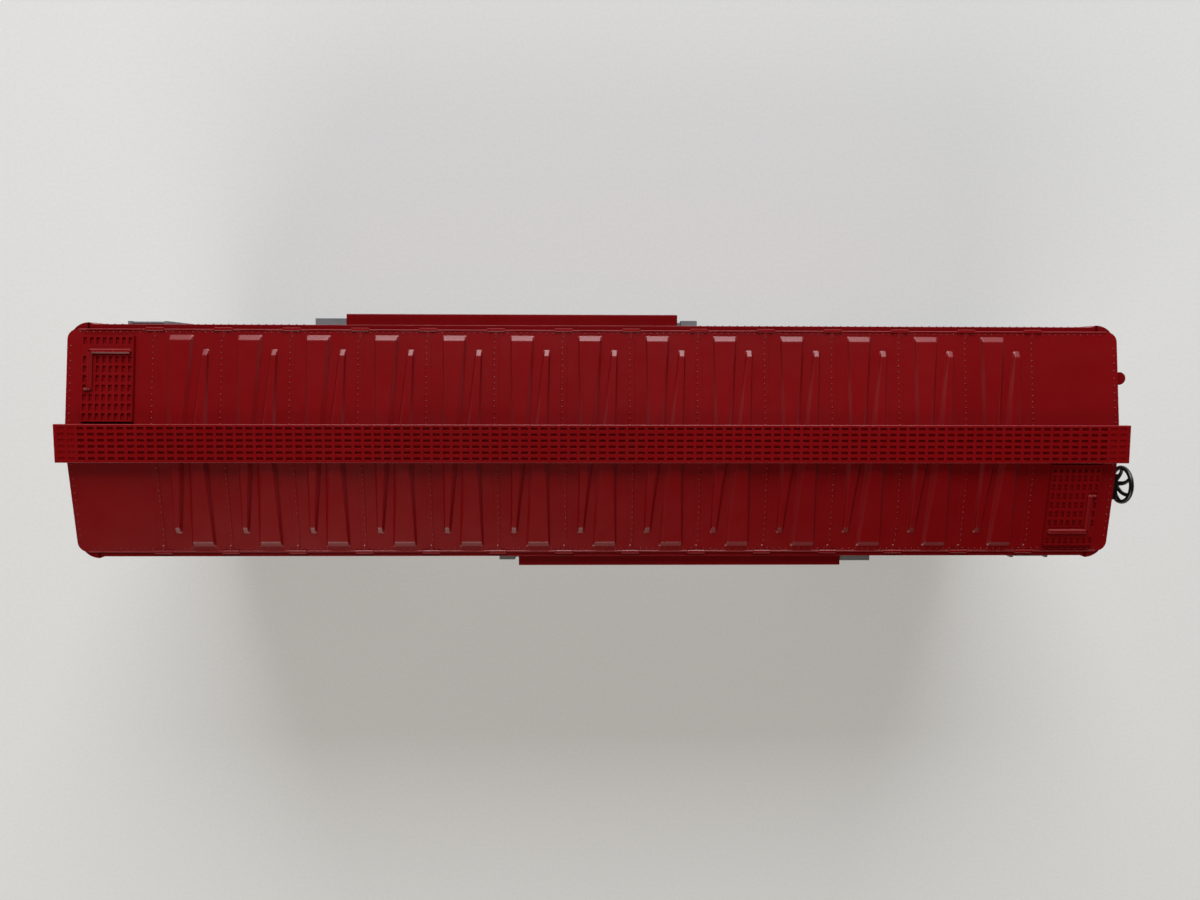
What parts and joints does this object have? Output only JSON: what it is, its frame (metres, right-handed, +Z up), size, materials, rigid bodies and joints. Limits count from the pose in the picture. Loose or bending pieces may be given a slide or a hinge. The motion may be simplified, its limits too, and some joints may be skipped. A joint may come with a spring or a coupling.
{
  "type": "model railway box car",
  "caption": "Red forty-foot model railway box car with ribbed roof, running board, sliding side doors, swivelling trucks, couplers and a dished hand-brake wheel.",
  "frame": {"origin": "on the surface the car stands on, under the middle of the car", "axes": "+X towards the hand-brake end, +Y towards the car's left side, +Z up"},
  "size_m": [0.285, 0.0654, 0.0969],
  "materials": {
    "body_red": "satin moulded plastic",
    "fittings_grey": "satin moulded plastic",
    "brake_black": "semi-gloss moulded plastic",
    "screw_steel": "plated",
    "axle_steel": "turned",
    "wheel_metal": "blackened, with bright treads",
    "coupler_metal": "blackened casting",
    "spring_steel": "blackened",
    "weight_steel": "plain sheet",
    "underframe_black": "satin moulded plastic"
  },
  "bodies": {
    "car": {"roof": "body_red", "side_left": "body_red", "side_right": "body_red", "end_a": "body_red", "end_b": "body_red", "floor": "underframe_black", "weight_plate": "weight_steel", "centre_sill": "underframe_black", "crossbearers": "underframe_black", "body_bolsters": "underframe_black", "running_board": "body_red", "lateral_board_a": "body_red", "lateral_board_b": "body_red", "door_hood_left": "body_red", "door_hood_right": "body_red", "door_rail_left": "fittings_grey", "door_rail_right": "fittings_grey", "door_track_left": "fittings_grey", "door_track_right": "fittings_grey", "side_ladder_left": "fittings_grey", "side_ladder_right": "fittings_grey", "end_ladder_a": "fittings_grey", "end_ladder_b": "fittings_grey", "grab_irons": "fittings_grey", "stirrup_steps": "underframe_black", "brake_housing": "brake_black", "brake_step": "fittings_grey", "brake_rod": "fittings_grey", "retainer_valve": "body_red", "brake_cylinder": "underframe_black", "air_reservoir": "underframe_black", "control_valve": "underframe_black", "brake_rigging": "underframe_black", "coupler_box_a": "underframe_black", "coupler_box_b": "underframe_black", "coupler_lids": "underframe_black", "coupler_screws": "screw_steel", "truck_screws": "screw_steel", "body_screws": "screw_steel"},
    "left_door": {"door_left": "body_red"},
    "right_door": {"door_right": "body_red"},
    "hand_wheel": {"brake_wheel": "brake_black"},
    "a_coupler": {"coupler_a": "coupler_metal"},
    "b_coupler": {"coupler_b": "coupler_metal"},
    "a_knuckle": {"knuckle_a": "coupler_metal"},
    "b_knuckle": {"knuckle_b": "coupler_metal"},
    "a_truck": {"truck_bolster_a": "underframe_black", "truck_sides_a": "underframe_black", "truck_springs_a": "spring_steel"},
    "b_truck": {"truck_bolster_b": "underframe_black", "truck_sides_b": "underframe_black", "truck_springs_b": "spring_steel"},
    "wheelset_1": {"wheels_1": "wheel_metal", "axle_1": "axle_steel"},
    "wheelset_2": {"wheels_2": "wheel_metal", "axle_2": "axle_steel"},
    "wheelset_3": {"wheels_3": "wheel_metal", "axle_3": "axle_steel"},
    "wheelset_4": {"wheels_4": "wheel_metal", "axle_4": "axle_steel"}
  },
  "joints": [
    {"name": "left_door_slide", "type": "slide", "parent": "car", "child": "left_door", "axis": [-1, 0, 0], "range_m": [0, 0.04]},
    {"name": "right_door_slide", "type": "slide", "parent": "car", "child": "right_door", "axis": [1, 0, 0], "range_m": [0, 0.04]},
    {"name": "brake_wheel_spin", "type": "hinge", "parent": "car", "child": "hand_wheel", "pos_m": [0.14135, -0.012, 0.0829], "axis": [1, 0, 0], "continuous": true},
    {"name": "a_coupler_swing", "type": "hinge", "parent": "car", "child": "a_coupler", "pos_m": [-0.12375, 0, 0.01935], "axis": [0, 0, 1], "range_deg": [-10, 10]},
    {"name": "b_coupler_swing", "type": "hinge", "parent": "car", "child": "b_coupler", "pos_m": [0.12375, 0, 0.01935], "axis": [0, 0, 1], "range_deg": [-10, 10]},
    {"name": "a_knuckle_open", "type": "hinge", "parent": "a_coupler", "child": "a_knuckle", "pos_m": [-0.13845, -0.0033, 0.01935], "axis": [0, 0, 1], "range_deg": [0, 45]},
    {"name": "b_knuckle_open", "type": "hinge", "parent": "b_coupler", "child": "b_knuckle", "pos_m": [0.13845, 0.0033, 0.01935], "axis": [0, 0, 1], "range_deg": [0, 45]},
    {"name": "a_truck_swivel", "type": "hinge", "parent": "car", "child": "a_truck", "pos_m": [-0.09825, 0, 0.0147], "axis": [0, 0, 1], "range_deg": [-12, 12]},
    {"name": "b_truck_swivel", "type": "hinge", "parent": "car", "child": "b_truck", "pos_m": [0.09825, 0, 0.0147], "axis": [0, 0, 1], "range_deg": [-12, 12]},
    {"name": "axle_1_spin", "type": "hinge", "parent": "a_truck", "child": "wheelset_1", "pos_m": [-0.1157, 0, 0.00985], "axis": [0, 1, 0], "continuous": true},
    {"name": "axle_2_spin", "type": "hinge", "parent": "a_truck", "child": "wheelset_2", "pos_m": [-0.0808, 0, 0.00985], "axis": [0, 1, 0], "continuous": true},
    {"name": "axle_3_spin", "type": "hinge", "parent": "b_truck", "child": "wheelset_3", "pos_m": [0.0808, 0, 0.00985], "axis": [0, 1, 0], "continuous": true},
    {"name": "axle_4_spin", "type": "hinge", "parent": "b_truck", "child": "wheelset_4", "pos_m": [0.1157, 0, 0.00985], "axis": [0, 1, 0], "continuous": true}
  ]
}
